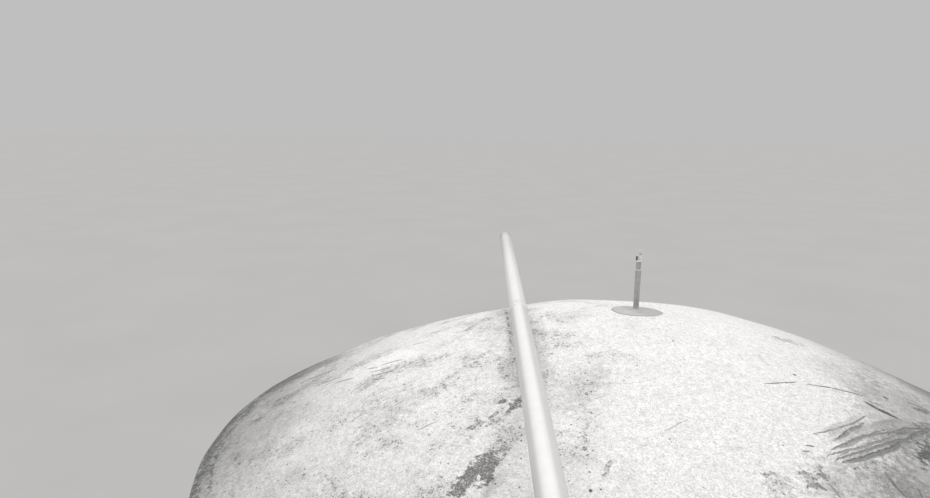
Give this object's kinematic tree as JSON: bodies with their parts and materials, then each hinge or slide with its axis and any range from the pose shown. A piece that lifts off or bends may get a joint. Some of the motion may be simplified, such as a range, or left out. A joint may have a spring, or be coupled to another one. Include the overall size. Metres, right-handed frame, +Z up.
{
  "type": "fixed-dome biogas digester",
  "caption": "Low plastered masonry dome over a digester pit, with a gas riser on its crown, a pale slurry pipe laid over it, a covered outlet chamber and an open inlet chamber.",
  "frame": {"origin": "centre of the part's plan, on the ground", "axes": "+Z up; +Y along the slurry pipe, from the outlet chamber over the dome; +X to the right of it, towards the inlet chamber"},
  "size_m": [8.4216, 9.49, 1.7482],
  "materials": {
    "plaster": "matt whitewashed cement plaster, stained",
    "concrete": "rough cement render, weathered",
    "cover_concrete": "cast concrete, weathered",
    "mortar_pad": "trowelled grey mortar",
    "pale_pipe": "semi-gloss pale plastic, dusty",
    "drop_pipe": "matt brown sewer pipe, dusty",
    "grey_pipe": "dull grey, satin",
    "pale_fitting": "pale plastic, satin",
    "dark_fitting": "black plastic, satin",
    "clip_steel": "zinc plated, dull"
  },
  "bodies": {
    "root": {"dome_crown": "plaster", "dome_segment_1": "plaster", "dome_segment_2": "plaster", "dome_segment_3": "plaster", "dome_segment_4": "plaster", "dome_segment_5": "plaster", "dome_segment_6": "plaster", "dome_segment_7": "plaster", "dome_segment_8": "plaster", "dome_segment_9": "plaster", "dome_segment_10": "plaster", "dome_segment_11": "plaster", "dome_segment_12": "plaster", "dome_segment_13": "plaster", "dome_segment_14": "plaster", "dome_segment_15": "plaster", "dome_segment_16": "plaster", "slurry_pipe_far": "pale_pipe", "slurry_pipe_near": "pale_pipe", "gas_outlet_pad": "mortar_pad", "gas_riser": "grey_pipe", "riser_coupling": "grey_pipe", "coupling_rim": "pale_fitting", "gas_nipple": "grey_pipe", "outlet_cap": "pale_fitting", "hose_adapter": "pale_fitting", "hose_clip": "clip_steel", "test_plug": "dark_fitting", "outlet_wall_dome_side": "concrete", "outlet_wall_outer": "concrete", "outlet_wall_left": "concrete", "outlet_wall_right": "concrete", "outlet_cover_1": "cover_concrete", "outlet_cover_2": "cover_concrete", "outlet_cover_3": "cover_concrete", "inlet_wall_dome_side": "concrete", "inlet_wall_outer": "concrete", "inlet_wall_left": "concrete", "inlet_wall_right": "concrete", "inlet_floor": "concrete", "inlet_drop_pipe": "drop_pipe"}
  },
  "joints": []
}
